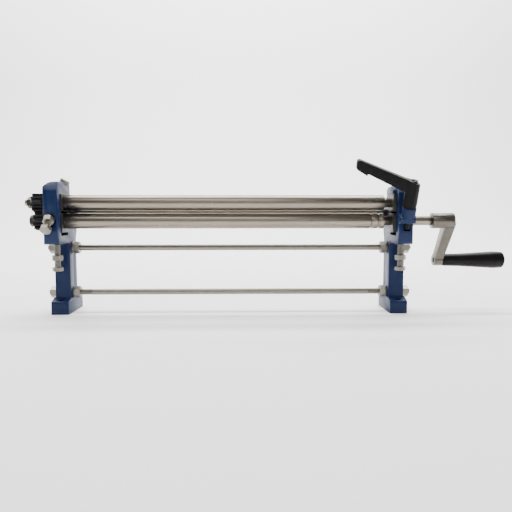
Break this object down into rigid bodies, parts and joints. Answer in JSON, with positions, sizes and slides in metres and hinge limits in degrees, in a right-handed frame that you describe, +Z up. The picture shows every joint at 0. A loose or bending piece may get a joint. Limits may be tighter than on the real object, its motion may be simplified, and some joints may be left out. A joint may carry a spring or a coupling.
{
  "type": "bench slip roll machine",
  "caption": "Bench slip roll: cast side frames carry a geared pinch pair and a rear bending roll, with a crank, adjusting bolts and a hinged cap held by a clamping lever.",
  "frame": {"origin": "centre of the bench bolt pattern, on the bench surface under the feet", "axes": "+X along the rolls towards the crank, +Y to the rear, +Z up"},
  "size_m": [0.9468, 0.1925, 0.2963],
  "materials": {
    "blue_paint": "gloss enamel on cast iron",
    "roll_steel": "ground, with fine lengthwise and round marks",
    "zinc": "bright zinc plate",
    "black_gear": "blackened, oiled",
    "black_nut": "blackened, thin oil film",
    "block_iron": "dark machined iron",
    "lever_black": "black textured coating on a zinc die casting",
    "dark_steel": "dark turned steel",
    "crank_metal": "bare cast metal, lightly linished",
    "grip_black": "black moulded plastic"
  },
  "bodies": {
    "frame": {"left_frame": "blue_paint", "right_frame": "blue_paint", "upper_tie_rod": "zinc", "lower_tie_rod": "zinc", "tie_rod_nuts": "zinc", "tie_rod_washers": "zinc", "top_left_housing": "block_iron", "cap_hinge_pin": "dark_steel", "left_locking_bolt": "zinc", "left_locking_nut": "zinc", "oil_plug": "zinc"},
    "lower_blocks": {"lower_left_block": "block_iron", "lower_right_block": "block_iron", "lower_left_bush": "dark_steel", "lower_right_bush": "dark_steel"},
    "lower_roll": {"lower_roll": "roll_steel", "lower_gear": "black_gear", "lower_gear_key": "dark_steel", "lower_gear_nut": "black_nut", "lower_gear_spacer": "block_iron", "crank": "crank_metal", "crank_set_screw": "dark_steel", "crank_spindle": "dark_steel"},
    "grip": {"crank_grip": "grip_black"},
    "top_bearings": {"top_left_ball_bush": "dark_steel", "top_right_block": "block_iron", "top_right_bush": "dark_steel"},
    "top_roll": {"top_roll": "roll_steel", "top_gear": "black_gear", "top_gear_key": "dark_steel", "top_gear_nut": "black_nut", "top_gear_spacer": "block_iron"},
    "rear_blocks": {"rear_left_block": "block_iron", "rear_right_block": "block_iron", "rear_left_bush": "dark_steel", "rear_right_bush": "dark_steel"},
    "rear_roll": {"rear_roll": "roll_steel"},
    "roll_cap": {"roll_cap": "blue_paint"},
    "clamp_screw": {"clamp_screw": "lever_black", "clamp_button": "lever_black"},
    "clamp_lever": {"clamp_lever": "lever_black"},
    "left_adjuster": {"left_adjusting_bolt": "zinc", "left_adjusting_nut": "zinc"},
    "right_adjuster": {"right_adjusting_bolt": "zinc", "right_adjusting_nut": "zinc"},
    "rear_left_adjuster": {"rear_left_adjusting_bolt": "zinc", "rear_left_adjusting_nut": "zinc"},
    "rear_right_adjuster": {"rear_right_adjusting_bolt": "zinc", "rear_right_adjusting_nut": "zinc"}
  },
  "joints": [
    {"name": "lower_roll_height", "type": "slide", "parent": "frame", "child": "lower_blocks", "axis": [0, 0, 1], "range_m": [-0.001, 0.003]},
    {"name": "crank_turn", "type": "hinge", "parent": "lower_blocks", "child": "lower_roll", "pos_m": [0, -0.054, 0.184], "axis": [1, 0, 0], "continuous": true},
    {"name": "grip_spin", "type": "hinge", "parent": "lower_roll", "child": "grip", "pos_m": [0.46, -0.00341, 0.10241], "axis": [1, 0, 0], "continuous": true},
    {"name": "cap_open", "type": "hinge", "parent": "frame", "child": "roll_cap", "pos_m": [0.332, -0.018, 0.24], "axis": [-1, 0, 0], "range_deg": [0, 60]},
    {"name": "top_roll_lift", "type": "hinge", "parent": "frame", "child": "top_bearings", "pos_m": [-0.329, -0.054, 0.2185], "axis": [0, -1, 0], "range_deg": [0, 1.2]},
    {"name": "top_roll_spin", "type": "hinge", "parent": "top_bearings", "child": "top_roll", "pos_m": [0, -0.054, 0.2185], "axis": [1, 0, 0], "continuous": true},
    {"name": "rear_roll_shift", "type": "slide", "parent": "frame", "child": "rear_blocks", "axis": [0, -0.4226, 0.9063], "range_m": [-0.008, 0.009]},
    {"name": "rear_roll_spin", "type": "hinge", "parent": "rear_blocks", "child": "rear_roll", "pos_m": [0, -0.007, 0.197], "axis": [1, 0, 0], "continuous": true},
    {"name": "lever_turn", "type": "hinge", "parent": "roll_cap", "child": "clamp_screw", "pos_m": [0.332, -0.099, 0.194], "axis": [0, -0.3746, 0.9272], "range_deg": [-30, 90]},
    {"name": "lever_lift", "type": "slide", "parent": "clamp_screw", "child": "clamp_lever", "axis": [0, -0.3746, 0.9272], "range_m": [0, 0.004], "stiffness_N_per_m": 1500, "springref_m": -0.004},
    {"name": "left_bolt_turn", "type": "hinge", "parent": "lower_blocks", "child": "left_adjuster", "pos_m": [-0.332, -0.054, 0.12], "axis": [0, 0, 1], "range_deg": [-207, 618]},
    {"name": "rear_left_bolt_turn", "type": "hinge", "parent": "rear_blocks", "child": "rear_left_adjuster", "pos_m": [-0.332, 0.01836, 0.14262], "axis": [0, -0.4226, 0.9063], "range_deg": [-1921, 2161]},
    {"name": "right_bolt_turn", "type": "hinge", "parent": "lower_blocks", "child": "right_adjuster", "pos_m": [0.332, -0.054, 0.12], "axis": [0, 0, 1], "range_deg": [-207, 618]},
    {"name": "rear_right_bolt_turn", "type": "hinge", "parent": "rear_blocks", "child": "rear_right_adjuster", "pos_m": [0.332, 0.01836, 0.14262], "axis": [0, -0.4226, 0.9063], "range_deg": [-1921, 2161]}
  ],
  "couplings": [
    {"joint": "top_roll_spin", "follows": "crank_turn", "ratio": -1},
    {"joint": "top_roll_lift", "follows": "cap_open", "ratio": 0.02},
    {"joint": "left_bolt_turn", "follows": "lower_roll_height", "rad_per_m": 3590.4},
    {"joint": "rear_left_bolt_turn", "follows": "rear_roll_shift", "rad_per_m": 4188.8},
    {"joint": "right_bolt_turn", "follows": "lower_roll_height", "rad_per_m": 3590.4},
    {"joint": "rear_right_bolt_turn", "follows": "rear_roll_shift", "rad_per_m": 4188.8}
  ]
}
